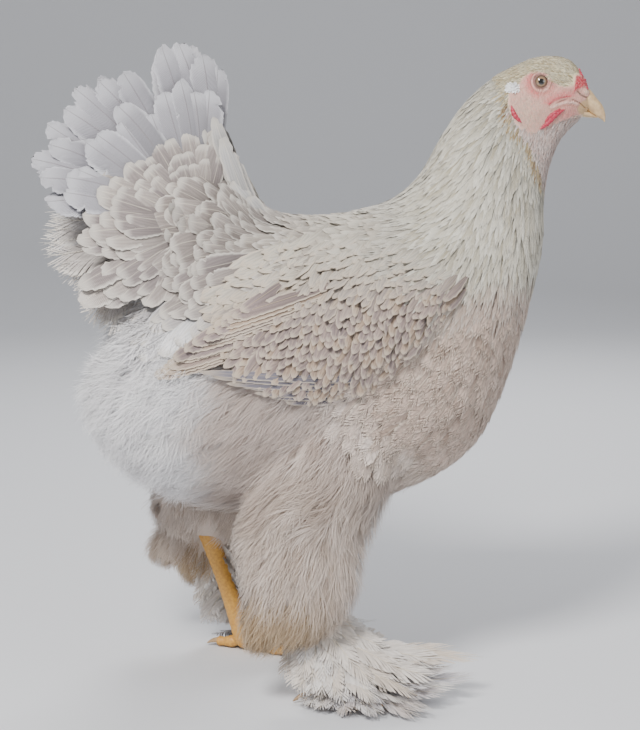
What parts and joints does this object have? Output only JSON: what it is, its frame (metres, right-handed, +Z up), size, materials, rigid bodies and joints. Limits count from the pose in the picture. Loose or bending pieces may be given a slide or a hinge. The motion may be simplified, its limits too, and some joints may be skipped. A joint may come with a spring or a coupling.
{
  "type": "brahma chicken",
  "caption": "Life-size standing Brahma hen with a pea comb, full hackle, cushioned back, fanned tail, folded wings, deep fluff and feathered legs and feet, as a still display model.",
  "frame": {"origin": "middle of the bounding box at floor level, under the standing hen", "axes": "+Z up, +X the way the hen faces, +Y to its left"},
  "size_m": [0.4736, 0.2604, 0.5475],
  "materials": {
    "face skin": "pink bare skin",
    "comb skin": "red comb, wattles and ear lobes",
    "horn": "yellow horn of bill and claws",
    "eye": "wet bay eye",
    "hackle feather": "cream white feather",
    "body feather": "pale fawn feather",
    "fluff": "white down",
    "wing feather": "fawn feather with fine pencilling",
    "tail feather": "pale lavender feather",
    "scaled skin": "yellow scaled leg skin"
  },
  "bodies": {
    "root": {"head": "face skin", "beak_upper": "horn", "beak_lower": "horn", "eye_right": "eye", "eye_left": "eye", "comb": "comb skin", "wattle_right": "comb skin", "wattle_left": "comb skin", "earlobe_right": "comb skin", "earlobe_left": "comb skin", "neck": "hackle feather", "torso": "body feather", "abdomen": "fluff", "tail": "tail feather", "wing_right": "wing feather", "wing_left": "wing feather", "thigh_right": "fluff", "thigh_left": "fluff", "shank_right": "scaled skin", "shank_left": "scaled skin", "foot_right": "scaled skin", "foot_left": "scaled skin", "claw_hind_right": "horn", "claw_inner_right": "horn", "claw_middle_right": "horn", "claw_outer_right": "horn", "claw_hind_left": "horn", "claw_inner_left": "horn", "claw_middle_left": "horn", "claw_outer_left": "horn"}
  },
  "joints": []
}
